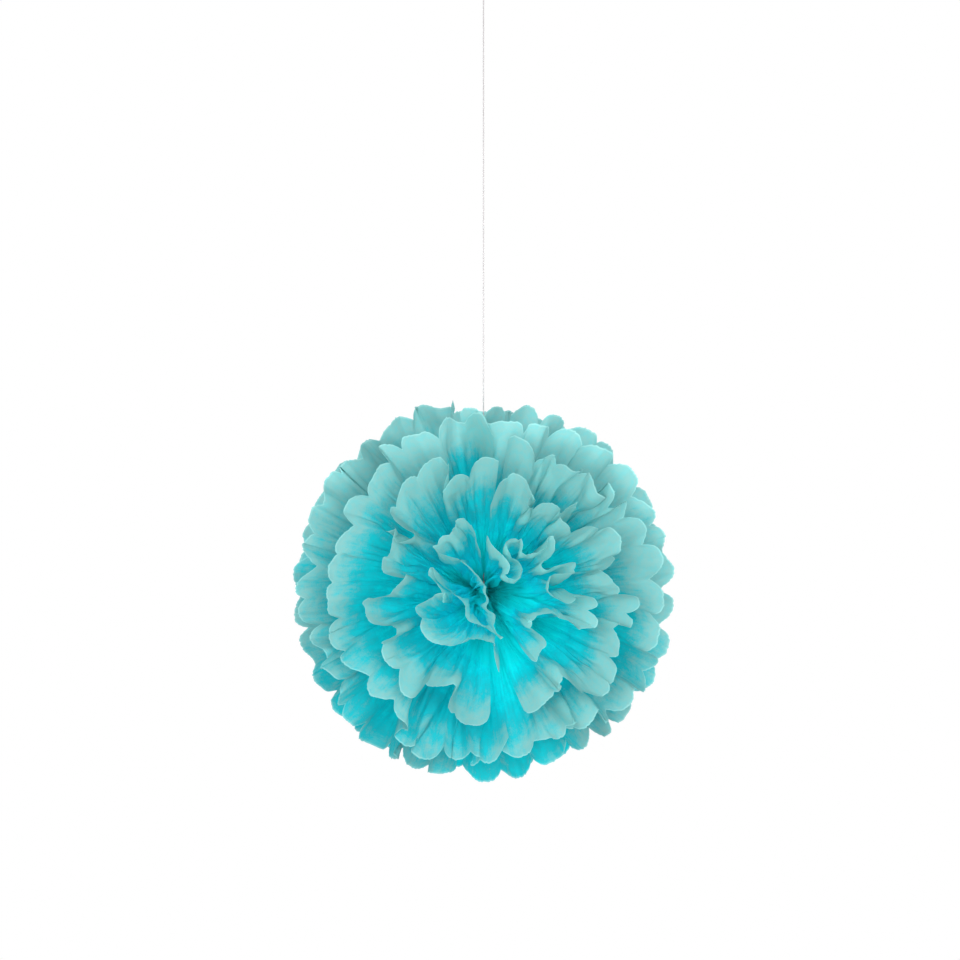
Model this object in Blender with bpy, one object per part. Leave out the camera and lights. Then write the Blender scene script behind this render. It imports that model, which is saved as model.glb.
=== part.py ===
"""Tissue paper pom pom, a fluffy paper ball that hangs on a thread.

Eight sheets of tissue lie in one stack, which is pleated and tied round its middle. The pleats fan out on both
sides of the tie, and each sheet is then pulled away from the next, half of them forward and half of them back,
until the petals at their rims make a ball. A thread rises from the tie to a small loop.

Metres, +Z up. The origin is where a hook carries the loop, and the front of the ball faces -Y. Each sheet keeps
to its own lane, a share of the tilts between the front of the ball and its back, so no sheet crosses another.
"""

import functools
import math

import bmesh
import bpy
import numpy as np

# The sheets
SHEETS = 8
PANELS = 18  # pleats across a sheet, each with one petal at each end
PANEL_WIDTH = 0.042
BALL_RADIUS = 0.203  # from the tie to the petals' tips
PETAL_ROUND = 0.012  # how far the corners of a petal are cut back from its tip
PETAL_UNEVEN = 0.008  # how far one petal's tip stands behind another
PAPER = 0.0004

# How the sheets are pulled apart
FRONT_TILT = math.radians(87)  # of the foremost petals, out of the middle plane
OUTER_CROWDING = 0.10  # how much closer the middle sheets lie than the outer ones
SEAM_HALF_GAP = 0.0025  # at the rim, from the middle of the seam to each half of the sheets
SHEET_CLEARANCE = 0.0035  # from a rim to the edge of its own lane
PLEAT_DEPTH_ROOT = 0.0025
PLEAT_DEPTH_SHOULDER = 0.0038
PLEAT_DEPTH_RIM = 0.0015

# How the ball is ruffled as a whole
SWIRL = math.radians(18)  # how far the seam leans at the front and the back of the ball
SWIRL_STARTS = math.radians(45)
SWIRL_ENDS = math.radians(75)
WANDER = math.radians(10)  # how far the seam strays to and fro between them
WANDER_TURNS = 7
ROLLS = ((0.10, 2, 0.6), (0.10, 3, -0.9), (0.085, 5, 0.6), (0.04, 8, -0.7))  # radians, waves round the ball, lean

# Where across the way from the tie to the rim the sheet has a row of points, and how far it has opened there
ROOT_SHARE = 0.2
SHOULDER_SHARE = 0.74
SHOULDER_OPENING = 0.84

# The waist, where the sheets lie flat on each other
SHEET_PITCH = 0.0012
WAIST_CROWN = 0.0014  # from the outermost sheet to the tie, at the waist's front and back
WAIST_MARGIN = 0.0012  # from each side of the tie to where the outermost sheets fan out
INNER_SPREAD = 0.0005  # how much further out each sheet does so than the one outside it

# The tie, and the thread that the ball hangs on
THREAD = 0.0012
TIE_TURNS = 3
FIT = 0.0003  # between pieces that touch
TIE_KNOT = 1.4  # a knot's radius, in widths of the thread
LOOP_KNOT = 1.5
FREE_THREAD = 0.445  # from the top of the ball to the loop's knot
LOOP_LENGTH = 0.022
LOOP_WIDTH = 0.010

# How finely curves are divided
RIM_STEPS = 4  # along each petal
RIM_SAMPLES = 800
TIE_STEPS = 24
KNOT_SEGMENTS = 12
KNOT_RINGS = 8
THREAD_POINTS = 24

TISSUE_COLOUR = (0.20, 0.62, 0.60, 1.0)
THREAD_COLOUR = (0.86, 0.84, 0.84, 1.0)

SHEET_WIDTH = PANELS * PANEL_WIDTH
TIE_KNOT_RADIUS = TIE_KNOT * THREAD
LOOP_KNOT_RADIUS = LOOP_KNOT * THREAD
LOOP_KNOT_Z = THREAD / 2 - LOOP_LENGTH - LOOP_KNOT_RADIUS
BALL_Z = LOOP_KNOT_Z - LOOP_KNOT_RADIUS - FREE_THREAD - BALL_RADIUS
WAIST_RADIUS = ((SHEETS - 1) * SHEET_PITCH + PAPER) / 2 + WAIST_CROWN
WAIST_HALF_LENGTH = TIE_TURNS * THREAD / 2 + WAIST_MARGIN
TIE_INNER = WAIST_RADIUS + FIT
TIE_OUTER = TIE_INNER + THREAD

# The rims of the two foremost sheets, left and right, set by hand: degrees round the ball from the top of the
# seam to its foot, and the percentage of the way from the back of the sheet's lane to its front.
FRONT_RIMS = {
    (0, -1): [
        (3, 50), (3, 15), (8, 3), (14, 7), (17, 27), (20, 38), (23, 19), (29, 3), (34, 7), (34, 31), (27, 54),
        (15, 69), (9, 81), (25, 94), (90, 96), (150, 92), (172, 81), (173, 61), (163, 61), (145, 73), (110, 77),
        (78, 69), (62, 54), (50, 34), (44, 15), (50, 3), (58, 11), (60, 31), (68, 46), (78, 31), (84, 7),
        (92, 7), (104, 27), (120, 34), (134, 50), (148, 54), (162, 38), (172, 7),
    ],
    (0, 1): [
        (4, 19), (8, 42), (10, 65), (20, 88), (42, 88), (38, 69), (28, 54), (22, 31), (25, 11), (32, 11),
        (37, 34), (44, 50), (50, 38), (46, 19), (47, 3), (55, 3), (61, 23), (62, 50), (69, 58), (74, 34),
        (75, 11), (82, 7), (88, 31), (92, 58), (100, 58), (104, 34), (108, 7), (118, 7), (123, 34), (124, 65),
        (140, 77), (158, 73), (162, 50), (155, 27), (160, 7), (170, 7), (174, 34),
    ],
    (1, -1): [
        (3, 21), (8, 52), (12, 84), (18, 84), (23, 52), (26, 21), (32, 10), (42, 16), (50, 31), (47, 58),
        (42, 79), (48, 89), (54, 73), (58, 47), (58, 21), (66, 10), (73, 26), (72, 58), (66, 84), (74, 89),
        (81, 68), (86, 42), (95, 42), (99, 63), (98, 89), (105, 89), (109, 52), (112, 21), (120, 10),
        (132, 16), (138, 37), (136, 68), (142, 89), (150, 79), (156, 47), (160, 21), (168, 16), (174, 37),
    ],
    (1, 1): [
        (3, 84), (3, 42), (6, 21), (14, 21), (20, 42), (21, 73), (27, 84), (30, 52), (29, 21), (35, 10),
        (41, 31), (40, 63), (45, 84), (51, 73), (55, 47), (56, 16), (64, 10), (72, 16), (74, 47), (78, 79),
        (86, 84), (90, 58), (94, 37), (102, 42), (106, 73), (112, 89), (120, 84), (124, 52), (130, 31),
        (138, 42), (141, 73), (148, 84), (154, 63), (157, 31), (164, 16), (172, 31),
    ],
}

# How the other rims wind to and fro
POLE_WAVES = 6.5  # along a half rim at the front or the back of the ball
MORE_WAVES = 3.0  # along one at the middle plane
WAVE_CHOICE = 0.7
LEAST_WAVE = 0.5  # the smallest wave as a share of the largest
WAVE_CHANGES = 8  # how often along a rim the waves change their size
WAVE_DRIFT = 0.04  # how much longer some waves are than others
FOLD_BACK = 0.85  # how far a wave doubles back on itself, 0 not at all

# How the paper keeps flat between its creases
CREASE_STRAY = 0.10  # from the border of a panel, in panels
HALVED = 0.4  # the share of panels with a crease down the middle too
FLATNESS = 0.85  # 0 for a rim that is as round as its waves, 1 for straight between the creases


def clear_scene():
    for obj in list(bpy.data.objects):
        bpy.data.objects.remove(obj)


def material(name, colour, roughness):
    made = bpy.data.materials.new(name)
    made.use_nodes = True
    shader = made.node_tree.nodes["Principled BSDF"]
    shader.inputs["Base Color"].default_value = colour
    shader.inputs["Roughness"].default_value = roughness
    shader.inputs["Metallic"].default_value = 0.0
    return made


def tilt_edge(share):
    """The tilt at a share of the way from the middle plane, 0, to the front, 1, or the back, -1."""
    return FRONT_TILT * share * (1 - OUTER_CROWDING * (1 - abs(share) ** 3))


def lane(sheet):
    """The lowest and highest tilt of a sheet's own lane. Sheet 0 is the front one."""
    return tilt_edge(1 - 2 * (sheet + 1) / SHEETS), tilt_edge(1 - 2 * sheet / SHEETS)


def ruffled(tilt, turn):
    """Unit vectors from the tie at a tilt and a turn from the top of the seam, after the whole ball is ruffled."""
    flat = np.cos(tilt)
    near_pole = np.clip((np.abs(tilt) - SWIRL_STARTS) / (SWIRL_ENDS - SWIRL_STARTS), 0, 1)
    swirl = SWIRL * near_pole**2 * (3 - 2 * near_pole)
    wander = WANDER * flat * np.sin(WANDER_TURNS * tilt) * np.cos(turn)
    tilt = tilt + flat * sum(size * np.sin(count * turn + lean * tilt) for size, count, lean in ROLLS)
    turn = turn - swirl - wander
    return np.stack([np.cos(tilt) * np.sin(turn), -np.sin(tilt), np.cos(tilt) * np.cos(turn)], axis=-1)


def directions(sheet, side, around, depth):
    """Unit vectors from the tie. around runs from the top of the seam, 0, to its foot, 1, on the left side, -1,
    or the right, 1, and depth from the back of the sheet's lane, 0, to its front, 1."""
    low, high = lane(sheet)
    margin = SHEET_CLEARANCE / BALL_RADIUS
    tilt = low + margin + (high - low - 2 * margin) * depth
    gap = SEAM_HALF_GAP / (BALL_RADIUS * np.cos(tilt))
    return ruffled(tilt, side * (gap + (math.pi - 2 * gap) * around))


def chosen(sheet, side):
    """The random choices of one half of a sheet, the same ones each time."""
    return np.random.default_rng(100 + 2 * sheet + (side > 0))


def smooth_through(knots, samples):
    """A smooth curve through knots, which it passes at even steps."""
    first, last = 2 * knots[0] - knots[1], 2 * knots[-1] - knots[-2]
    padded = np.vstack([first, knots, last])
    at = np.linspace(0, len(knots) - 1, samples)
    start = np.minimum(at.astype(int), len(knots) - 2)
    u = (at - start)[:, None]
    a, b, c, d = (padded[start + k] for k in range(4))
    return b + u * ((c - a) / 2 + u * ((2 * a - 5 * b + 4 * c - d) / 2 + u * (3 * b - a - 3 * c + d) / 2))


def drawn_rim(sheet, side, gather):
    """One of the rims set by hand, its waves made as deep as gather, 0 to 1."""
    knots = np.array(FRONT_RIMS[sheet, side]) / (180, 100)
    around, depth = smooth_through(knots, RIM_SAMPLES).T
    return np.clip(around, 0, 1), np.clip(0.5 + gather * (depth - 0.5), 0, 1)


def wavy_rim(sheet, side, gather):
    """A rim that winds to and fro in its lane, its waves made as deep as gather, 0 to 1."""
    random = chosen(sheet, side)
    waves = POLE_WAVES + MORE_WAVES * math.cos(sum(lane(sheet)) / 2) + random.uniform(-WAVE_CHOICE, WAVE_CHOICE)
    phase, *drift_phases = random.uniform(0, 2 * math.pi, 4)
    along = np.linspace(0, 1, RIM_SAMPLES)
    drift = sum(np.sin(2 * math.pi * k * along + p) for k, p in enumerate(drift_phases, 1))
    turn = 2 * math.pi * waves * (along + WAVE_DRIFT * drift) + phase
    changes = np.linspace(0, 1, WAVE_CHANGES + 1)
    size = np.interp(along, changes, random.uniform(LEAST_WAVE, 1, WAVE_CHANGES + 1))
    shift = np.interp(along, changes, random.uniform(-1, 1, WAVE_CHANGES + 1)) * (1 - size)
    at_ends = np.minimum(1, WAVE_CHANGES * np.minimum(along, 1 - along))
    fold = gather * FOLD_BACK * np.sin(2 * turn) / (4 * math.pi * waves) * at_ends
    return along - fold, 0.5 + gather * (size * np.sin(turn) + shift) / 2


def share_along(sheet, side, around, depth):
    """A rim's length in ball radii, and the share of it that is behind each of its points."""
    steps = np.linalg.norm(np.diff(directions(sheet, side, around, depth), axis=0), axis=1)
    return steps.sum(), np.concatenate([[0], np.cumsum(steps)]) / steps.sum()


def creased(sheet, side, around, depth):
    """A rim with its creases kept and the paper between them made nearly flat."""
    random = np.random.default_rng(300 + 2 * sheet + (side > 0))
    creases = np.arange(PANELS + 1.0)
    creases[1:-1] += random.uniform(-CREASE_STRAY, CREASE_STRAY, PANELS - 1)
    halved = np.flatnonzero(random.uniform(0, 1, PANELS) < HALVED)
    creases = np.sort(np.concatenate([creases, (creases[halved] + creases[halved + 1]) / 2])) / PANELS
    share = share_along(sheet, side, around, depth)[1]
    across = np.linspace(0, 1, RIM_SAMPLES)
    made = []
    for winding in (around, depth):
        straight = np.interp(across, creases, np.interp(creases, share, winding))
        made.append(FLATNESS * straight + (1 - FLATNESS) * np.interp(across, share, winding))
    return made


@functools.lru_cache(maxsize=None)
def rim(sheet, side):
    """A rim's around and depth at many points, and the share of its length behind each. Its waves are as deep
    as it takes to use up the sheet's width."""
    shape = drawn_rim if (sheet, side) in FRONT_RIMS else wavy_rim
    least, most = 0.0, 1.0
    for _ in range(30):
        gather = (least + most) / 2
        around, depth = creased(sheet, side, *shape(sheet, side, gather))
        length, share = share_along(sheet, side, around, depth)
        if BALL_RADIUS * length < SHEET_WIDTH:
            least = gather
        else:
            most = gather
    return share, around, depth


def petal_reach(sheet, side, across):
    """How far from the tie the paper's cut edge is, at shares across the sheet."""
    panel = across * PANELS
    from_tip = np.abs(2 * (panel % 1) - 1)
    uneven = np.interp(panel, np.arange(PANELS + 1), chosen(sheet, side).uniform(0, PETAL_UNEVEN, PANELS + 1))
    return BALL_RADIUS - uneven - PETAL_ROUND * from_tip**2


def row(sheet, side, across, reach, opening, pleat):
    """Points at shares across one half of a sheet and at a reach from the tie, where the sheet has opened from
    an even fan, 0, to the winding of its rim, 1."""
    share, rim_around, rim_depth = rim(sheet, side)
    around = (1 - opening) * across + opening * np.interp(across, share, rim_around)
    depth = (1 - opening) * 0.5 + opening * np.interp(across, share, rim_depth)
    out = directions(sheet, side, around, depth)
    beside = np.cross(out, np.gradient(out, axis=0))
    beside /= np.linalg.norm(beside, axis=1)[:, None]
    crease = 2 * np.abs((across * PANELS) % 2 - 1) - 1
    from_end = np.minimum(1, PANELS * np.minimum(across, 1 - across))
    return out * reach[:, None] + beside * (side * pleat * crease * from_end)[:, None]


def waist_row(sheet, side, steps):
    """The row of points where the sheet comes out of the tie."""
    from_middle = sheet - (SHEETS - 1) / 2
    y = from_middle * SHEET_PITCH
    x = side * (WAIST_HALF_LENGTH + INNER_SPREAD * ((SHEETS - 1) / 2 - abs(from_middle)))
    half = math.sqrt(WAIST_RADIUS**2 - (abs(y) + PAPER) ** 2)
    return np.array([(x, y, z) for z in np.linspace(half, -half, steps + 1)])


def ribbon(first, second):
    """Triangles between two rows of vertices, which may have different numbers of them."""
    faces, i, j = [], 0, 0
    last_i, last_j = len(first) - 1, len(second) - 1
    while i < last_i or j < last_j:
        if j == last_j or (i < last_i and (i + 1) / last_i <= (j + 1) / last_j):
            faces.append((first[i], first[i + 1], second[j]))
            i += 1
        else:
            faces.append((first[i], second[j + 1], second[j]))
            j += 1
    return faces


def half_rows(sheet, side):
    """The rows of one half, from the rim in to the waist."""
    at_rim = np.linspace(0, 1, PANELS * RIM_STEPS + 1)
    at_shoulder = np.linspace(0, 1, 2 * PANELS + 1)
    at_root = np.linspace(0, 1, PANELS + 1)
    shoulder = np.full_like(at_shoulder, SHOULDER_SHARE * BALL_RADIUS)
    root = np.full_like(at_root, ROOT_SHARE * BALL_RADIUS)
    return [
        row(sheet, side, at_rim, petal_reach(sheet, side, at_rim), 1.0, PLEAT_DEPTH_RIM),
        row(sheet, side, at_shoulder, shoulder, SHOULDER_OPENING, PLEAT_DEPTH_SHOULDER),
        row(sheet, side, at_root, root, 0.0, PLEAT_DEPTH_ROOT),
        waist_row(sheet, side, PANELS // 2),
    ]


def tissue_sheet(sheet, tissue):
    """One sheet: a fan of petals on each side of a narrow waist."""
    rows = half_rows(sheet, -1) + half_rows(sheet, 1)[::-1]
    points, faces, numbers = [], [], []
    for points_in_row in rows:
        numbers.append(range(len(points), len(points) + len(points_in_row)))
        points += [tuple(p) for p in points_in_row]
    for first, second in zip(numbers, numbers[1:]):
        faces += ribbon(first, second)
    mesh = bpy.data.meshes.new(f"tissue_sheet_{sheet + 1:02d}")
    mesh.from_pydata(points, [], faces)
    mesh.materials.append(tissue)
    made = bpy.data.objects.new(mesh.name, mesh)
    bpy.context.scene.collection.objects.link(made)
    made.location.z = BALL_Z
    thickness = made.modifiers.new("paper", "SOLIDIFY")
    thickness.thickness = PAPER
    thickness.offset = 0.0


def finished(name, mesh, thread):
    mesh.materials.append(thread)
    mesh.shade_smooth()
    mesh.set_sharp_from_angle(angle=math.radians(50))
    made = bpy.data.objects.new(name, mesh)
    bpy.context.scene.collection.objects.link(made)
    return made


def knot(name, radius, height, thread):
    """A small round knot at a height."""
    mesh = bpy.data.meshes.new(name)
    bm = bmesh.new()
    bmesh.ops.create_uvsphere(bm, u_segments=KNOT_SEGMENTS, v_segments=KNOT_RINGS, radius=radius)
    bm.to_mesh(mesh)
    bm.free()
    made = finished(name, mesh, thread)
    made.location.z = height
    return made


def waist_tie(thread):
    """Turns of thread pulled tight round the waist, with their knot on top."""
    mesh = bpy.data.meshes.new("waist_tie")
    bm = bmesh.new()
    half = TIE_TURNS * THREAD / 2
    profile = [(half, TIE_INNER), (-half, TIE_INNER)]
    for turn in range(TIE_TURNS):
        middle = -half + (turn + 0.5) * THREAD
        for angle in (150, 90, 30):
            a = math.radians(angle)
            profile.append((middle + THREAD / 2 * math.cos(a), TIE_OUTER - THREAD / 2 + THREAD / 2 * math.sin(a)))
    corners = [bm.verts.new((x, 0, radius)) for x, radius in profile]
    edges = [bm.edges.new(pair) for pair in zip(corners, corners[1:] + corners[:1])]
    bmesh.ops.spin(bm, geom=corners + edges, cent=(0, 0, 0), axis=(1, 0, 0), angle=2 * math.pi,
                   steps=TIE_STEPS, use_merge=True)
    bmesh.ops.recalc_face_normals(bm, faces=bm.faces)
    bm.to_mesh(mesh)
    bm.free()
    tie = finished("waist_tie", mesh, thread)
    tie.location.z = BALL_Z
    knot_shape = knot("waist_tie_knot_shape", TIE_KNOT_RADIUS, BALL_Z + TIE_OUTER, thread)
    knot_shape.hide_render = True
    knot_shape.display_type = "WIRE"
    join = tie.modifiers.new("knot", "BOOLEAN")
    join.operation = "UNION"
    join.object = knot_shape


def tube(name, points, thread):
    """A thread along points."""
    curve = bpy.data.curves.new(name, "CURVE")
    curve.dimensions = "3D"
    curve.bevel_depth = THREAD / 2
    curve.bevel_resolution = 2
    curve.use_fill_caps = True
    curve.materials.append(thread)
    spline = curve.splines.new("POLY")
    spline.points.add(len(points) - 1)
    for point, place in zip(spline.points, points):
        point.co = (*place, 1)
    bpy.context.scene.collection.objects.link(bpy.data.objects.new(name, curve))


def hanging_thread(thread):
    """The thread, pulled straight by the ball's weight, from the tie's knot to the loop's."""
    foot = BALL_Z + TIE_OUTER + TIE_KNOT_RADIUS + FIT
    head = LOOP_KNOT_Z - LOOP_KNOT_RADIUS - FIT
    tube("hanging_thread", [(0, 0, z) for z in np.linspace(foot, head, THREAD_POINTS)], thread)


def hanging_loop(thread):
    """The eye at the thread's upper end: a drop shape whose two legs come down side by side to the knot."""
    foot = LOOP_KNOT_Z + LOOP_KNOT_RADIUS + FIT
    height = THREAD / 2 - foot
    from_middle = 0.75 * THREAD
    widest = 4 / (3 * math.sqrt(3))  # of sin(turn) * sin(turn / 2)
    points = []
    for turn in np.linspace(0, 2 * math.pi, THREAD_POINTS + 1):
        bulge = math.sin(turn) * math.sin(turn / 2) / widest
        x = from_middle * math.cos(turn / 2) + LOOP_WIDTH / 2 * bulge
        points.append((x, 0, foot + height * (1 - math.cos(turn)) / 2))
    tube("hanging_loop", points, thread)


clear_scene()
tissue_finish = material("tissue", TISSUE_COLOUR, 0.8)
thread_finish = material("thread", THREAD_COLOUR, 0.6)
for number in range(SHEETS):
    tissue_sheet(number, tissue_finish)
waist_tie(thread_finish)
hanging_thread(thread_finish)
knot("loop_knot", LOOP_KNOT_RADIUS, LOOP_KNOT_Z, thread_finish)
hanging_loop(thread_finish)
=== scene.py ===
"""Tissue paper pom pom: the looks of the paper, the tie and the thread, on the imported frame."""

import functools
import math

import bpy
import numpy as np
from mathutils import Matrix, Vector


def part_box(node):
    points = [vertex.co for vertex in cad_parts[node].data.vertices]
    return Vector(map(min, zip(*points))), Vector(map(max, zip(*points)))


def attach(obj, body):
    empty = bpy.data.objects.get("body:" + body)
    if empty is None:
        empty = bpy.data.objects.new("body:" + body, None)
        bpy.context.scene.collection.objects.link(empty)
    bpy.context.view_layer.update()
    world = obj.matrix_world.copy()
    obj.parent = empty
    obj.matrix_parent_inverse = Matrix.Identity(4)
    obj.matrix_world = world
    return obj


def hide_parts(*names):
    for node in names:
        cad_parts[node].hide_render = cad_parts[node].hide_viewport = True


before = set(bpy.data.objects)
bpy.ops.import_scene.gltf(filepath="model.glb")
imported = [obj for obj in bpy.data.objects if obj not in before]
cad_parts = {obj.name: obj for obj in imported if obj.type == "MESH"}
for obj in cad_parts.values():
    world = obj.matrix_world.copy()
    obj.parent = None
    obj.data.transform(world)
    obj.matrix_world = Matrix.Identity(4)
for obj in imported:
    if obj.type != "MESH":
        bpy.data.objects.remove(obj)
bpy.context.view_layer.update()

# The tissue sheets. Eight sheets of dyed tissue are stacked, pleated into 42 mm panels and cut round at both
# ends, so that each panel ends in a petal. One sheet is one piece from petal to petal, held at its waist by
# the tie, and pulled away from its neighbours by hand until it winds to and fro through the ball.
SHEETS = 8
PANELS = 18  # pleats across a sheet, each with one petal at each end
PANEL_WIDTH = 0.042
BALL_RADIUS = 0.203  # from the tie to the petals' tips
PETAL_ROUND = 0.012  # how far the corners of a petal are cut back from its tip
PETAL_UNEVEN = 0.008  # how far one petal's tip stands behind another
SHEET_WIDTH = PANELS * PANEL_WIDTH

# How the sheets are pulled apart, and how the whole ball is ruffled
FRONT_TILT = math.radians(87)  # of the foremost petals, out of the middle plane
OUTER_CROWDING = 0.10  # how much closer the middle sheets lie than the outer ones
SEAM_HALF_GAP = 0.0025  # at the rim, from the middle of the seam to each half of the sheets
SHEET_CLEARANCE = 0.0035  # from a rim to the edge of its own lane
SWIRL = math.radians(18)  # how far the seam leans at the front and the back of the ball
SWIRL_STARTS = math.radians(45)
SWIRL_ENDS = math.radians(75)
WANDER = math.radians(10)  # how far the seam strays to and fro between them
WANDER_TURNS = 7
ROLLS = ((0.10, 2, 0.6), (0.10, 3, -0.9), (0.085, 5, 0.6), (0.04, 8, -0.7))  # radians, waves, lean

# Shares of the way from the tie to the rim, and how far the sheet has opened at the second of them
ROOT_SHARE = 0.2
SHOULDER_SHARE = 0.74
SHOULDER_OPENING = 0.84

# The waist, where the sheets lie flat on each other
PAPER = 0.0004
SHEET_PITCH = 0.0012
WAIST_CROWN = 0.0014  # from the outermost sheet to the tie, at the waist's front and back
WAIST_RADIUS = ((SHEETS - 1) * SHEET_PITCH + PAPER) / 2 + WAIST_CROWN
WAIST_HALF_LENGTH = 0.003
INNER_SPREAD = 0.0005  # how much further out each sheet fans out than the one outside it
THREAD = 0.0012
TIE_FIT = 0.0003  # from the sheets to the tie
BALL_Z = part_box("waist_tie")[0].z + WAIST_RADIUS + TIE_FIT + THREAD

# The rims of the two foremost sheets: degrees round the ball from the top of the seam to its foot, and the
# percentage of the way from the back of the sheet's lane to its front.
FRONT_RIMS = {
    (0, -1): [
        (3, 50), (3, 15), (8, 3), (14, 7), (17, 27), (20, 38), (23, 19), (29, 3), (34, 7), (34, 31), (27, 54),
        (15, 69), (9, 81), (25, 94), (90, 96), (150, 92), (172, 81), (173, 61), (163, 61), (145, 73),
        (110, 77), (78, 69), (62, 54), (50, 34), (44, 15), (50, 3), (58, 11), (60, 31), (68, 46), (78, 31),
        (84, 7), (92, 7), (104, 27), (120, 34), (134, 50), (148, 54), (162, 38), (172, 7),
    ],
    (0, 1): [
        (4, 19), (8, 42), (10, 65), (20, 88), (42, 88), (38, 69), (28, 54), (22, 31), (25, 11), (32, 11),
        (37, 34), (44, 50), (50, 38), (46, 19), (47, 3), (55, 3), (61, 23), (62, 50), (69, 58), (74, 34),
        (75, 11), (82, 7), (88, 31), (92, 58), (100, 58), (104, 34), (108, 7), (118, 7), (123, 34), (124, 65),
        (140, 77), (158, 73), (162, 50), (155, 27), (160, 7), (170, 7), (174, 34),
    ],
    (1, -1): [
        (3, 21), (8, 52), (12, 84), (18, 84), (23, 52), (26, 21), (32, 10), (42, 16), (50, 31), (47, 58),
        (42, 79), (48, 89), (54, 73), (58, 47), (58, 21), (66, 10), (73, 26), (72, 58), (66, 84), (74, 89),
        (81, 68), (86, 42), (95, 42), (99, 63), (98, 89), (105, 89), (109, 52), (112, 21), (120, 10),
        (132, 16), (138, 37), (136, 68), (142, 89), (150, 79), (156, 47), (160, 21), (168, 16), (174, 37),
    ],
    (1, 1): [
        (3, 84), (3, 42), (6, 21), (14, 21), (20, 42), (21, 73), (27, 84), (30, 52), (29, 21), (35, 10),
        (41, 31), (40, 63), (45, 84), (51, 73), (55, 47), (56, 16), (64, 10), (72, 16), (74, 47), (78, 79),
        (86, 84), (90, 58), (94, 37), (102, 42), (106, 73), (112, 89), (120, 84), (124, 52), (130, 31),
        (138, 42), (141, 73), (148, 84), (154, 63), (157, 31), (164, 16), (172, 31),
    ],
}
RIM_SAMPLES = 800

# The rims of the other sheets wind to and fro in their lanes.
POLE_WAVES = 6.5  # at the front and the back of the ball
MORE_WAVES = 3.0  # in the middle
WAVE_CHOICE = 0.7  # how many more or fewer one sheet may have
LEAST_WAVE = 0.5  # of the lane's width
WAVE_CHANGES = 8  # how often the waves' size changes along the rim
WAVE_DRIFT = 0.04  # how far the waves bunch up in places, as a share of the rim
FOLD_BACK = 0.85  # how far the waves double back on themselves
CREASE_STRAY = 0.10  # of a panel, to each side
HALVED = 0.4  # the share of the panels with one more crease down the middle
FLATNESS = 0.85  # of the paper between two creases

# What the fixed random numbers of a sheet's half are drawn from
RIM_SEED = 100
CREASE_SEED = 300
FOLD_SEED = 500
WAIST_SEED = 7  # the same for all sheets, since they are bunched together


def tilt_edge(share):
    return FRONT_TILT * share * (1 - OUTER_CROWDING * (1 - abs(share) ** 3))


def lane(sheet):
    """The tilts that a sheet keeps between, so that no sheet crosses another."""
    return tilt_edge(1 - 2 * (sheet + 1) / SHEETS), tilt_edge(1 - 2 * sheet / SHEETS)


def ruffled(tilt, turn):
    flat = np.cos(tilt)
    near_pole = np.clip((np.abs(tilt) - SWIRL_STARTS) / (SWIRL_ENDS - SWIRL_STARTS), 0, 1)
    swirl = SWIRL * near_pole**2 * (3 - 2 * near_pole)
    wander = WANDER * flat * np.sin(WANDER_TURNS * tilt) * np.cos(turn)
    tilt = tilt + flat * sum(size * np.sin(count * turn + lean * tilt) for size, count, lean in ROLLS)
    turn = turn - swirl - wander
    return np.stack([np.cos(tilt) * np.sin(turn), -np.sin(tilt), np.cos(tilt) * np.cos(turn)], axis=-1)


def directions(sheet, side, around, depth):
    """Unit vectors from the tie, for a way round the seam and a way across the sheet's lane, both 0 to 1."""
    low, high = lane(sheet)
    margin = SHEET_CLEARANCE / BALL_RADIUS
    tilt = low + margin + (high - low - 2 * margin) * depth
    gap = SEAM_HALF_GAP / (BALL_RADIUS * np.cos(tilt))
    return ruffled(tilt, side * (gap + (math.pi - 2 * gap) * around))


def chosen(sheet, side, seed):
    return np.random.default_rng(seed + 2 * sheet + (side > 0))


def smooth_through(knots, samples):
    """Points along the smooth curve that runs through all the knots."""
    first, last = 2 * knots[0] - knots[1], 2 * knots[-1] - knots[-2]
    padded = np.vstack([first, knots, last])
    at = np.linspace(0, len(knots) - 1, samples)
    start = np.minimum(at.astype(int), len(knots) - 2)
    u = (at - start)[:, None]
    a, b, c, d = (padded[start + k] for k in range(4))
    return b + u * ((c - a) / 2 + u * ((2 * a - 5 * b + 4 * c - d) / 2 + u * (3 * b - a - 3 * c + d) / 2))


def drawn_rim(sheet, side, gather):
    """A rim laid out through the listed points, its waves made as deep as gather, 0 to 1."""
    knots = np.array(FRONT_RIMS[sheet, side]) / (180, 100)
    around, depth = smooth_through(knots, RIM_SAMPLES).T
    return np.clip(around, 0, 1), np.clip(0.5 + gather * (depth - 0.5), 0, 1)


def wavy_rim(sheet, side, gather):
    """A rim that winds to and fro in its lane, its waves made as deep as gather, 0 to 1."""
    random = chosen(sheet, side, RIM_SEED)
    waves = POLE_WAVES + MORE_WAVES * math.cos(sum(lane(sheet)) / 2)
    waves += random.uniform(-WAVE_CHOICE, WAVE_CHOICE)
    phase, *drift_phases = random.uniform(0, 2 * math.pi, 4)
    along = np.linspace(0, 1, RIM_SAMPLES)
    drift = sum(np.sin(2 * math.pi * k * along + p) for k, p in enumerate(drift_phases, 1))
    turn = 2 * math.pi * waves * (along + WAVE_DRIFT * drift) + phase
    changes = np.linspace(0, 1, WAVE_CHANGES + 1)
    size = np.interp(along, changes, random.uniform(LEAST_WAVE, 1, WAVE_CHANGES + 1))
    shift = np.interp(along, changes, random.uniform(-1, 1, WAVE_CHANGES + 1)) * (1 - size)
    at_ends = np.minimum(1, WAVE_CHANGES * np.minimum(along, 1 - along))
    fold = gather * FOLD_BACK * np.sin(2 * turn) / (4 * math.pi * waves) * at_ends
    return along - fold, 0.5 + gather * (size * np.sin(turn) + shift) / 2


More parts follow.
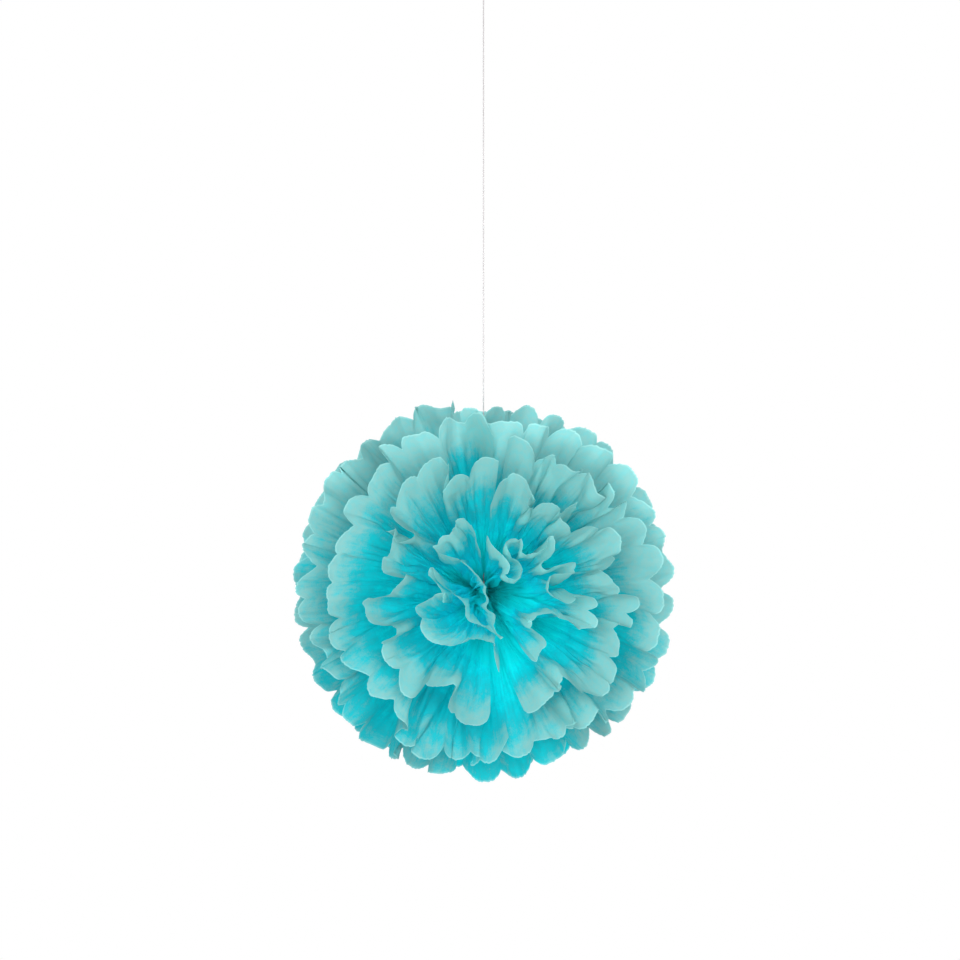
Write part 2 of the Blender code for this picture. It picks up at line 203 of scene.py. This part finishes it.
def share_along(sheet, side, around, depth):
    """A rim's length in ball radii, and the share of it that is behind each of its points."""
    steps = np.linalg.norm(np.diff(directions(sheet, side, around, depth), axis=0), axis=1)
    return steps.sum(), np.concatenate([[0], np.cumsum(steps)]) / steps.sum()


def creased(sheet, side, around, depth):
    """A rim with its creases kept and the paper between them made nearly flat."""
    random = chosen(sheet, side, CREASE_SEED)
    creases = np.arange(PANELS + 1.0)
    creases[1:-1] += random.uniform(-CREASE_STRAY, CREASE_STRAY, PANELS - 1)
    halved = np.flatnonzero(random.uniform(0, 1, PANELS) < HALVED)
    creases = np.sort(np.concatenate([creases, (creases[halved] + creases[halved + 1]) / 2])) / PANELS
    share = share_along(sheet, side, around, depth)[1]
    across = np.linspace(0, 1, RIM_SAMPLES)
    made = []
    for winding in (around, depth):
        straight = np.interp(across, creases, np.interp(creases, share, winding))
        made.append(FLATNESS * straight + (1 - FLATNESS) * np.interp(across, share, winding))
    return made


@functools.lru_cache(maxsize=None)
def rim(sheet, side):
    """A rim's around and depth at many points, and the share of its length behind each. Its waves are as deep
    as it takes to use up the sheet's width."""
    shape = drawn_rim if (sheet, side) in FRONT_RIMS else wavy_rim
    least, most = 0.0, 1.0
    for _ in range(30):
        gather = (least + most) / 2
        around, depth = creased(sheet, side, *shape(sheet, side, gather))
        length, share = share_along(sheet, side, around, depth)
        if BALL_RADIUS * length < SHEET_WIDTH:
            least = gather
        else:
            most = gather
    return share, around, depth


def petal_reach(sheet, side, across):
    """How far from the tie the paper's cut edge is, at shares across the sheet."""
    panel = across * PANELS
    from_tip = np.abs(2 * (panel % 1) - 1)
    behind = chosen(sheet, side, RIM_SEED).uniform(0, PETAL_UNEVEN, PANELS + 1)
    uneven = np.interp(panel, np.arange(PANELS + 1), behind)
    return BALL_RADIUS - uneven - PETAL_ROUND * from_tip**2


# Points along a petal's rim, and rows of points in the waist and out to the rim
PETAL_STEPS = 24
WAIST_ROWS = 6
OPEN_ROWS = 47
ROW_SPREAD = 0.9  # below 1, the rows lie closer together towards the rim

# Depths along the petal, from the tie, 0, to its tip, 1. The gathers run out from the tie in three widths,
# each with how many there are to a panel, and then its depths.
PLEAT_DEPTH = [(0.0, 0.0004), (0.2, 0.0025), (0.74, 0.0038), (1.0, 0.0022)]
GATHERS = [
    (8, [(0.0, 0.0001), (0.08, 0.0018), (0.2, 0.0027), (0.4, 0.0026), (0.6, 0.0017), (0.8, 0.0005),
         (0.9, 0.0)]),
    (4, [(0.1, 0.0), (0.22, 0.0026), (0.42, 0.0042), (0.62, 0.0034), (0.82, 0.0010), (0.93, 0.0)]),
    (2, [(0.35, 0.0), (0.55, 0.0024), (0.75, 0.0022), (0.95, 0.0)]),
]
GATHER_STRAY = 0.32  # of a gather's width, to each side
LEAST_GATHER = 0.45  # of the deepest one's depth
GATHER_BEND = 0.35  # of its width, to and fro on its way out
CURL_DEPTH = [(20, 0.0105), (60, 0.0050)]  # of the petals' tips, by the sheet's tilt in degrees
CUP_DEPTH = 0.0040  # of a petal across its width
CURL_STARTS = 0.60  # of the way to the tip, and the cup with it
CRUMPLE_WAVES = 8
CRUMPLE_LENGTHS = (0.016, 0.055)
CRUMPLE_SLOPE = 0.055  # how deep a crumple is for its length
USUAL_LANE = math.radians(13.1)  # narrower lanes have shallower gathers, and wider ones deeper
LANE_EFFECT = 0.45  # at 0 they are all the same, at 1 as much deeper as their lane is wider

# How the scissors cut the petals' ends
PETAL_LEAN = 0.2  # of the petal's width, to each side
PETAL_BLUNTNESS = (1.9, 3.4)  # 2 is round, and more is squarer
NOTCH_SIZES = (0.6, 1.5)  # of the usual notch between two petals


def gathers(panel, share, per_panel, depths, random):
    """Irregular creases, each between its neighbours but never quite halfway, nor quite straight."""
    count = PANELS * per_panel
    places = np.arange(-1, count + 2) + random.uniform(-GATHER_STRAY, GATHER_STRAY, count + 3)
    heights = random.uniform(LEAST_GATHER, 1.0, count + 3) * np.where(np.arange(count + 3) % 2, 1, -1)
    astray = GATHER_BEND * np.sin(2 * math.pi * (1.1 * share + 0.23 * panel) + random.uniform(0, 6))
    return np.interp(panel * per_panel + astray, places, heights) * np.interp(share, *zip(*depths))


def zigzag(turns):
    return 2 * np.abs(turns % 2 - 1) - 1


def opening(share):
    """How far the sheet has opened, from an even fan, 0, to the winding of its rim, 1."""
    t = np.clip((share - ROOT_SHARE) / (SHOULDER_SHARE - ROOT_SHARE), 0, 1)
    to_shoulder = SHOULDER_SHARE * t / (ROOT_SHARE * (1 - t) + SHOULDER_SHARE * t)
    beyond = np.clip((share - SHOULDER_SHARE) / (1 - SHOULDER_SHARE), 0, 1)
    return SHOULDER_OPENING * to_shoulder + (1 - SHOULDER_OPENING) * beyond


def crumples(u, v, random):
    """Shallow facets, as hands leave them in tissue: creases that cross it in all directions."""
    total = 0
    for _ in range(CRUMPLE_WAVES):
        angle, phase, patch_phase = random.uniform(0, 2 * math.pi, 3)
        length = random.uniform(*CRUMPLE_LENGTHS)
        along = (u * math.cos(angle) + v * math.sin(angle)) / length + phase
        across = (v * math.cos(angle) - u * math.sin(angle)) / (2.5 * length) + patch_phase
        patch = np.clip(0.4 + np.sin(across * 2.1) * np.sin(along * 0.37 + phase), 0, 1)
        total = total + CRUMPLE_SLOPE * length * zigzag(along + 0.3 * np.sin(across)) * patch
    return total


def cut_edge(sheet, side, across, random):
    """The petals' ends, rounded with scissors through all the sheets, so that no two are quite alike."""
    panel = across * PANELS
    which = np.minimum(panel.astype(int), PANELS - 1)
    lean = random.uniform(-PETAL_LEAN, PETAL_LEAN, PANELS)[which]
    blunt = random.uniform(*PETAL_BLUNTNESS, PANELS)[which]
    sizes = random.uniform(*NOTCH_SIZES, PANELS + 1)
    notch = PETAL_ROUND * np.interp(panel, np.arange(PANELS + 1), sizes)
    x = panel - which
    x = x + lean * 4 * x * (1 - x)
    uncut = petal_reach(sheet, side, across) + PETAL_ROUND * np.abs(2 * (panel % 1) - 1) ** 2
    ragged = 0.0005 * np.sin(panel * 29 + 3 * np.sin(panel * 7.3)) + 0.0003 * np.sin(panel * 71 + lean * 40)
    return uncut - notch * np.abs(2 * x - 1) ** blunt + ragged


def half_sheet(sheet, side):
    """Points of one half, in rows from the waist to the rim, and their places on the flat paper."""
    random = chosen(sheet, side, FOLD_SEED)
    across = np.linspace(0, 1, PANELS * PETAL_STEPS + 1)[None, :]
    share = (ROOT_SHARE + (1 - ROOT_SHARE) * np.linspace(0, 1, OPEN_ROWS) ** ROW_SPREAD)[:, None]
    rim_share, rim_around, rim_depth = rim(sheet, side)
    open_share = opening(share)
    around = (1 - open_share) * across + open_share * np.interp(across, rim_share, rim_around)
    depth = (1 - open_share) * 0.5 + open_share * np.interp(across, rim_share, rim_depth)
    out = directions(sheet, side, around, depth)
    beside = np.cross(out, np.gradient(out, axis=1))
    beside /= np.linalg.norm(beside, axis=2, keepdims=True)

    from_end = np.minimum(1, PANELS * np.minimum(across, 1 - across))
    panel = across * PANELS
    u, v = across * SHEET_WIDTH, share * BALL_RADIUS
    shift = side * zigzag(panel + 1) * np.interp(share, *zip(*PLEAT_DEPTH))
    low, high = lane(sheet)
    room = ((high - low) / USUAL_LANE) ** LANE_EFFECT
    for per_panel, depths in GATHERS:
        shift = shift + room * gathers(panel, share, per_panel, depths, random)
    near_tip = np.clip((share - CURL_STARTS) / (1 - CURL_STARTS), 0, 1)
    curl_at = random.uniform(-1, 1, PANELS + 2)
    cup_of = random.uniform(-1, 1, PANELS)[np.minimum(panel.astype(int), PANELS - 1)]
    curl_depth = np.interp(math.degrees(abs(low + high) / 2), *zip(*CURL_DEPTH))
    shift = shift + curl_depth * np.interp(panel + 0.5, np.arange(PANELS + 2), curl_at) * near_tip**2
    shift = shift + CUP_DEPTH * cup_of * (1 - (2 * (panel % 1) - 1) ** 2) * near_tip
    shift = shift + crumples(u + 0 * v, v + 0 * u, random) * np.clip(share * 1.6 - 0.3, 0, 1)
    shift = shift * from_end

    near_rim = np.clip((share - SHOULDER_SHARE) / (1 - SHOULDER_SHARE), 0, 1)
    straight = np.minimum(share, SHOULDER_SHARE) * BALL_RADIUS
    reach = straight + near_rim * (cut_edge(sheet, side, across, random) - SHOULDER_SHARE * BALL_RADIUS)
    opened = out * reach[..., None] + beside * shift[..., None]

    from_middle = sheet - (SHEETS - 1) / 2
    y = from_middle * SHEET_PITCH
    x = side * (WAIST_HALF_LENGTH + INNER_SPREAD * ((SHEETS - 1) / 2 - abs(from_middle)))
    half = math.sqrt(WAIST_RADIUS**2 - (abs(y) + PAPER) ** 2)
    waist = np.stack([np.full(across.size, x), np.full(across.size, y), half * (1 - 2 * across[0])], axis=-1)
    t = np.linspace(0, 1, WAIST_ROWS, endpoint=False)[:, None]
    small, depths = GATHERS[0]
    bunched = gathers(panel, t * ROOT_SHARE, small, depths, np.random.default_rng(WAIST_SEED))
    bunched = bunched * from_end * 4 * t * (1 - t)
    fanning = (1 - t[..., None]) * waist + t[..., None] * opened[0] + bunched[..., None] * beside[0]
    points = np.concatenate([fanning, opened])
    reach_on_paper = np.concatenate([t * ROOT_SHARE * BALL_RADIUS + 0 * across, v + 0 * across])
    paper = np.stack([u + 0 * reach_on_paper + 2 * sheet + (side > 0), reach_on_paper], axis=-1)
    return points, paper


def grid_faces(rows, columns):
    first = (np.arange(rows - 1)[:, None] * columns + np.arange(columns - 1)[None, :]).ravel()
    return np.stack([first, first + 1, first + columns + 1, first + columns], axis=1)


def tissue_sheet(sheet, paper_finish):
    left, left_paper = half_sheet(sheet, -1)
    right, right_paper = half_sheet(sheet, 1)
    points = np.concatenate([left[::-1].reshape(-1, 3), right.reshape(-1, 3)])
    places = np.concatenate([left_paper[::-1].reshape(-1, 2), right_paper.reshape(-1, 2)])
    rows, columns = left.shape[0], left.shape[1]
    faces = grid_faces(2 * rows, columns)
    mesh = bpy.data.meshes.new(f"tissue_{sheet + 1:02d}")
    mesh.from_pydata((points + (0, 0, BALL_Z)).tolist(), [], faces.tolist())
    corners = np.empty(len(mesh.loops), np.int32)
    mesh.loops.foreach_get("vertex_index", corners)
    mesh.uv_layers.new(name="paper").data.foreach_set("uv", places[corners].astype(np.float32).ravel())
    mesh.materials.append(paper_finish)
    mesh.shade_smooth()
    piece = bpy.data.objects.new(mesh.name, mesh)
    bpy.context.scene.collection.objects.link(piece)
    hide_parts(f"tissue_sheet_{sheet + 1:02d}")
    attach(piece, "root")


# Painted shade and light on the paper's turquoise, from the tie, 0, towards the petal's tip, 1, as it would
# lie
# if it were even: saturated turquoise towards the tie is painted shade in the hollows, brightened there as
# painted light bounced between the sheets, and the pale tips are painted light falling on them.
PAINTED_SHADE_AND_LIGHT = (
    (0.28, (0.0, 0.96, 0.98, 1.0)), (0.50, (0.0, 0.95, 0.98, 1.0)), (0.66, (0.0, 0.685, 0.75, 1.0)),
    (0.785, (0.015, 0.54, 0.60, 1.0)), (0.895, (0.172, 0.54, 0.55, 1.0)), (0.965, (0.265, 0.555, 0.54, 1.0)),
)
DYE_CLOUD = (0.026, 0.64, 0.71, 1.0)
# Painted highlight along the petals' cut edge
PAINTED_EDGE_HIGHLIGHT = (0.46, 0.82, 0.80, 1.0)
# The most that the painted light round the ball's middle may make of the paper's colour
BRIGHTEST_PAPER_COLOUR = (0.98, 0.96, 0.98)
LIGHT_THROUGH = 0.62  # the share of the light that the paper lets through
PAINTED_CENTRE_LIGHT = 0.25  # painted light: how much brighter the paper's colour is made round the front and the back of the ball
PAINTED_LIGHT_TOWARDS = (0.04, -0.12, 0.16)  # painted light: to where the paper is paler, above and in front, by what share of a petal's length


def tissue_finish():
    """Thin turquoise tissue with painted light and shade: pale tips as painted light, deep turquoise down
    towards the tie as painted shade, more painted light towards the top and the front and round the ball's
    middle, and a painted highlight along the cut edge. The painted shade and light lie unevenly, in blotches,
    fibres and streaks along the petal."""
    made = bpy.data.materials.new("aqua tissue")
    made.use_nodes = True
    tree = made.node_tree
    nodes, links = tree.nodes, tree.links
    nodes.clear()

    def node(kind, **settings):
        new = nodes.new(kind)
        for name, value in settings.items():
            setattr(new, name, value)
        return new

    def number(operation, a, b):
        """One step of arithmetic on a and b, each a constant or another node's result."""
        new = node("ShaderNodeMath", operation=operation)
        for socket, value in zip(new.inputs, (a, b)):
            if isinstance(value, (int, float)):
                socket.default_value = value
            else:
                links.new(value, socket)
        return new.outputs[0]

    def noise(coordinates, scale, detail, roughness=0.5):
        new = node("ShaderNodeTexNoise")
        new.inputs["Scale"].default_value = scale
        new.inputs["Detail"].default_value = detail
        new.inputs["Roughness"].default_value = roughness
        links.new(coordinates, new.inputs["Vector"])
        return new.outputs["Fac"]

    def between(value, low, high):
        """0 below low, 1 above high, with a smooth step from one to the other."""
        new = node("ShaderNodeMapRange", interpolation_type="SMOOTHSTEP")
        new.inputs["From Min"].default_value = low
        new.inputs["From Max"].default_value = high
        links.new(value, new.inputs["Value"])
        return new.outputs["Result"]

    def blended(fac, a, b):
        new = node("ShaderNodeMix", data_type="RGBA")
        for socket, value in ((new.inputs["Factor"], fac), (new.inputs[6], a), (new.inputs[7], b)):
            if isinstance(value, tuple):
                socket.default_value = value
            else:
                links.new(value, socket)
        return new.outputs[2]

    paper = node("ShaderNodeUVMap", uv_map="paper").outputs["UV"]
    split = node("ShaderNodeSeparateXYZ")
    links.new(paper, split.inputs[0])
    share = number("DIVIDE", split.outputs["Y"], BALL_RADIUS)
    place = node("ShaderNodeTexCoord").outputs["Object"]
    from_tie = node("ShaderNodeVectorMath", operation="SUBTRACT")
    from_tie.inputs[1].default_value = (0, 0, BALL_Z)
    links.new(place, from_tie.inputs[0])
    # Painted light: the paper is drawn paler towards the top and the front, where the lamps' light falls.
    paler_by_place = node("ShaderNodeVectorMath", operation="DOT_PRODUCT")
    paler_by_place.inputs[1].default_value = tuple(part / BALL_RADIUS for part in PAINTED_LIGHT_TOWARDS)
    links.new(from_tie.outputs[0], paler_by_place.inputs[0])

    blotches = noise(paper, 60.0, 4.0, 0.6)
    fibres = noise(paper, 520.0, 4.0, 0.75)
    streaked = node("ShaderNodeMapping")
    streaked.inputs["Scale"].default_value = (1.0, 0.12, 1.0)
    links.new(paper, streaked.inputs["Vector"])
    streaks = noise(streaked.outputs[0], 240.0, 3.0, 0.6)

    broad = noise(place, 11.0, 1.0)
    reach = share
    for pattern, strength in ((broad, 0.45), (blotches, 0.36), (fibres, 0.22), (streaks, 0.26)):
        reach = number("ADD", reach, number("MULTIPLY", number("SUBTRACT", pattern, 0.5), strength))
    reach = number("ADD", reach, paler_by_place.outputs["Value"])
    # Painted shade and light: the ramp turns the paper pale towards the tips and deep turquoise towards the
    # tie.
    ramp = node("ShaderNodeValToRGB")
    stops = ramp.color_ramp.elements
    stops[0].position, stops[0].color = PAINTED_SHADE_AND_LIGHT[0]
    stops[1].position, stops[1].color = PAINTED_SHADE_AND_LIGHT[-1]
    for position, tint in PAINTED_SHADE_AND_LIGHT[1:-1]:
        stops.new(position).color = tint
    links.new(reach, ramp.inputs["Fac"])
    clouds = between(noise(paper, 150.0, 5.0, 0.65), 0.42, 0.62)
    colour = blended(number("MULTIPLY", clouds, 0.22), ramp.outputs["Color"], DYE_CLOUD)
    # Painted highlight: the last sliver of each petal towards its cut edge is drawn paler.
    edge = between(share, 0.988, 0.996)
    colour = blended(number("MULTIPLY", edge, 0.42), colour, PAINTED_EDGE_HIGHLIGHT)

    # Painted light: the colour is made brighter near the line through the ball's middle from front to back,
    # where the hollows are dark, up to the brightest colour above.
    off_axis = node("ShaderNodeVectorMath", operation="MULTIPLY")
    off_axis.inputs[1].default_value = (1 / BALL_RADIUS, 0, 1 / BALL_RADIUS)
    links.new(from_tie.outputs[0], off_axis.inputs[0])
    off_centre = node("ShaderNodeVectorMath", operation="LENGTH")
    links.new(off_axis.outputs[0], off_centre.inputs[0])
    less = number("MULTIPLY", between(off_centre.outputs["Value"], 0.12, 0.62), PAINTED_CENTRE_LIGHT)
    brighter = node("ShaderNodeVectorMath", operation="SCALE")
    links.new(colour, brighter.inputs[0])
    links.new(number("SUBTRACT", 1.0 + PAINTED_CENTRE_LIGHT, less), brighter.inputs["Scale"])
    at_most = node("ShaderNodeVectorMath", operation="MINIMUM")
    links.new(brighter.outputs[0], at_most.inputs[0])
    at_most.inputs[1].default_value = BRIGHTEST_PAPER_COLOUR
    colour = at_most.outputs[0]

    front = node("ShaderNodeBsdfPrincipled")
    links.new(colour, front.inputs["Base Color"])
    front.inputs["Roughness"].default_value = 0.72
    front.inputs["Specular IOR Level"].default_value = 0.25
    bump = node("ShaderNodeBump")
    bump.inputs["Strength"].default_value = 0.35
    bump.inputs["Distance"].default_value = 0.0006
    links.new(number("ADD", streaks, number("MULTIPLY", fibres, 0.6)), bump.inputs["Height"])
    links.new(bump.outputs[0], front.inputs["Normal"])
    through = node("ShaderNodeBsdfTranslucent")
    links.new(colour, through.inputs["Color"])
    both = node("ShaderNodeMixShader")
    both.inputs["Fac"].default_value = LIGHT_THROUGH
    links.new(front.outputs[0], both.inputs[1])
    links.new(through.outputs[0], both.inputs[2])
    links.new(both.outputs[0], node("ShaderNodeOutputMaterial").inputs["Surface"])
    return made


paper_finish = tissue_finish()
for number_in_stack in range(SHEETS):
    tissue_sheet(number_in_stack, paper_finish)


# The thread. White sewing thread of two plies twisted together. It is wound and knotted round the sheets'
# waist, then pulled straight by the ball's weight up to a knotted loop, all in one length.
TWIST = 0.0022  # along the thread, from one ply's turn to the next
THREAD_POINTS = 40
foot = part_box("hanging_thread")[0].z
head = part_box("hanging_thread")[1].z


def thread_finish():
    """White cotton, with painted shade in the groove between the plies, and loose fibres across them."""
    made = bpy.data.materials.new("white thread")
    made.use_nodes = True
    tree = made.node_tree
    shader = tree.nodes["Principled BSDF"]
    shader.inputs["Roughness"].default_value = 0.75
    shader.inputs["Specular IOR Level"].default_value = 0.2
    place = tree.nodes.new("ShaderNodeTexCoord")
    plies = tree.nodes.new("ShaderNodeTexWave")
    plies.bands_direction = "DIAGONAL"
    plies.inputs["Scale"].default_value = 2 * math.pi / (10 * TWIST)
    plies.inputs["Distortion"].default_value = 0.6
    fibres = tree.nodes.new("ShaderNodeTexNoise")
    fibres.inputs["Scale"].default_value = 5200.0
    fibres.inputs["Detail"].default_value = 3.0
    # Painted shade: the colour is darker in the groove between the plies.
    painted_groove_shade = tree.nodes.new("ShaderNodeValToRGB")
    painted_groove_shade.color_ramp.elements[0].color = (0.45, 0.43, 0.435, 1.0)
    painted_groove_shade.color_ramp.elements[1].color = (0.60, 0.57, 0.58, 1.0)
    painted_groove_shade.color_ramp.elements[1].position = 0.55
    height = tree.nodes.new("ShaderNodeMath")
    height.operation = "MULTIPLY_ADD"
    height.inputs[1].default_value = 0.3
    bump = tree.nodes.new("ShaderNodeBump")
    bump.inputs["Strength"].default_value = 0.7
    bump.inputs["Distance"].default_value = 0.0003
    tree.links.new(place.outputs["Object"], plies.inputs["Vector"])
    tree.links.new(place.outputs["Object"], fibres.inputs["Vector"])
    tree.links.new(plies.outputs["Fac"], painted_groove_shade.inputs["Fac"])
    tree.links.new(fibres.outputs["Fac"], height.inputs[0])
    tree.links.new(plies.outputs["Fac"], height.inputs[2])
    tree.links.new(height.outputs[0], bump.inputs["Height"])
    tree.links.new(painted_groove_shade.outputs["Color"], shader.inputs["Base Color"])
    tree.links.new(bump.outputs[0], shader.inputs["Normal"])
    return made


thread_look = thread_finish()
curve = bpy.data.curves.new("hanging_cord", "CURVE")
curve.dimensions = "3D"
curve.bevel_depth = THREAD / 2
curve.bevel_resolution = 3
curve.use_fill_caps = True
curve.materials.append(thread_look)
line = curve.splines.new("POLY")
line.points.add(THREAD_POINTS - 1)
for point, z in zip(line.points, np.linspace(foot, head, THREAD_POINTS)):
    point.co = (0, 0, z, 1)
cord = bpy.data.objects.new("hanging_cord", curve)
bpy.context.scene.collection.objects.link(cord)
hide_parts("hanging_thread")
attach(cord, "root")
for name in ("waist_tie", "loop_knot", "hanging_loop"):
    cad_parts[name].data.materials.clear()
    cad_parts[name].data.materials.append(thread_look)


# The floor of the white room that the ball hangs in, well below it. It shows plain white but for the shadow
# under the ball.
FLOOR_BELOW = 0.60
FLOOR_HALF = 5.0
SHADOW_FADES = (0.25, 0.9)  # metres from below the ball


def shown_white(tree):
    """1 where the camera sees a surface, also in a reflection or through glass, and 0 for other light."""
    path = tree.nodes.new("ShaderNodeLightPath")
    shown = path.outputs["Is Camera Ray"]
    for kind in ("Is Glossy Ray", "Is Transmission Ray"):
        most = tree.nodes.new("ShaderNodeMath")
        most.operation = "MAXIMUM"
        tree.links.new(shown, most.inputs[0])
        tree.links.new(path.outputs[kind], most.inputs[1])
        shown = most.outputs[0]
    return shown


scene = bpy.context.scene
floor_z = BALL_Z - BALL_RADIUS - FLOOR_BELOW
floor_mesh = bpy.data.meshes.new("floor")
corners = [(FLOOR_HALF * x, FLOOR_HALF * y, floor_z) for x, y in ((-1, -1), (1, -1), (1, 1), (-1, 1))]
floor_mesh.from_pydata(corners, [], [(0, 1, 2, 3)])
floor = bpy.data.objects.new("floor", floor_mesh)
scene.collection.objects.link(floor)
floor_finish = bpy.data.materials.new("white floor")
floor_finish.use_nodes = True
tree = floor_finish.node_tree
shader = tree.nodes["Principled BSDF"]
shader.inputs["Base Color"].default_value = (0.85, 0.85, 0.85, 1.0)
shader.inputs["Roughness"].default_value = 0.9
white = tree.nodes.new("ShaderNodeEmission")
white.inputs["Color"].default_value = (1, 1, 1, 1)
where = tree.nodes.new("ShaderNodeNewGeometry")
apart = tree.nodes.new("ShaderNodeVectorMath")
apart.operation = "DISTANCE"
apart.inputs[1].default_value = (0, 0, floor_z)
fade = tree.nodes.new("ShaderNodeMapRange")
fade.interpolation_type = "SMOOTHSTEP"
fade.inputs["From Min"].default_value = SHADOW_FADES[0]
fade.inputs["From Max"].default_value = SHADOW_FADES[1]
paler_by_place = tree.nodes.new("ShaderNodeMath")
paler_by_place.operation = "MULTIPLY"
mixed = tree.nodes.new("ShaderNodeMixShader")
tree.links.new(where.outputs["Position"], apart.inputs[0])
tree.links.new(apart.outputs["Value"], fade.inputs["Value"])
tree.links.new(shown_white(tree), paler_by_place.inputs[0])
tree.links.new(fade.outputs["Result"], paler_by_place.inputs[1])
tree.links.new(paler_by_place.outputs[0], mixed.inputs["Fac"])
tree.links.new(shader.outputs[0], mixed.inputs[1])
tree.links.new(white.outputs[0], mixed.inputs[2])
tree.links.new(mixed.outputs[0], tree.nodes["Material Output"].inputs["Surface"])
floor_mesh.materials.append(floor_finish)

# The light: an even light from the white room, a small lamp close before the ball, one further off at each
# side and one behind, whose light comes through the paper.
ROOM_LIGHT = 0.40
world = bpy.data.worlds.new("room light")
scene.world = world
world.use_nodes = True
tree = world.node_tree
lit = tree.nodes["Background"]
lit.inputs["Color"].default_value = (1, 1, 1, 1)
lit.inputs["Strength"].default_value = ROOM_LIGHT
plain = tree.nodes.new("ShaderNodeBackground")
plain.inputs["Color"].default_value = (1, 1, 1, 1)
mixed = tree.nodes.new("ShaderNodeMixShader")
tree.links.new(shown_white(tree), mixed.inputs["Fac"])
tree.links.new(lit.outputs[0], mixed.inputs[1])
tree.links.new(plain.outputs[0], mixed.inputs[2])
tree.links.new(mixed.outputs[0], tree.nodes["World Output"].inputs["Surface"])

ball = Vector((0, 0, BALL_Z))
for name, offset, size, watts in (
    ("lamp before the ball", (-0.08, -0.85, 0.07), 0.35, 7.2),
    ("lamp at the left", (-1.0, -2.1, 0.55), 0.9, 16.0),
    ("lamp at the right", (0.9, -2.2, 0.3), 0.9, 14.5),
    ("lamp behind the ball", (0.5, 2.25, 0.9), 0.9, 29.0),
):
    lamp = bpy.data.lights.new(name, "AREA")
    lamp.size = size
    lamp.energy = watts
    holder = bpy.data.objects.new(name, lamp)
    holder.location = ball + Vector(offset)
    holder.rotation_euler = (-Vector(offset)).to_track_quat("-Z", "Y").to_euler()
    scene.collection.objects.link(holder)

# The camera: a long lens a little left of the ball and a little above it.
METRES_PER_PIXEL = 0.001040
PHOTO_CENTRE = 480
BALL_PIXEL = (483.5, 589.5)
CAMERA_AWAY = 6.0
azimuth, elevation = math.radians(-6), math.radians(3)
across, along = math.sin(azimuth) * math.cos(elevation), -math.cos(azimuth) * math.cos(elevation)
back = Vector((across, along, math.sin(elevation)))
right = Vector((math.cos(azimuth), math.sin(azimuth), 0))
up = back.cross(right)
aside, above = (METRES_PER_PIXEL * (pixel - PHOTO_CENTRE) for pixel in BALL_PIXEL)
aim = ball - right * aside + up * above
lens = bpy.data.cameras.new("camera")
lens.sensor_width = 36
lens.lens = lens.sensor_width * CAMERA_AWAY / (2 * PHOTO_CENTRE * METRES_PER_PIXEL)
camera = bpy.data.objects.new("camera", lens)
camera.location = ball + back * CAMERA_AWAY
camera.rotation_euler = (aim - camera.location).to_track_quat("-Z", "Y").to_euler()
scene.collection.objects.link(camera)
scene.camera = camera
scene.view_settings.view_transform = "Standard"
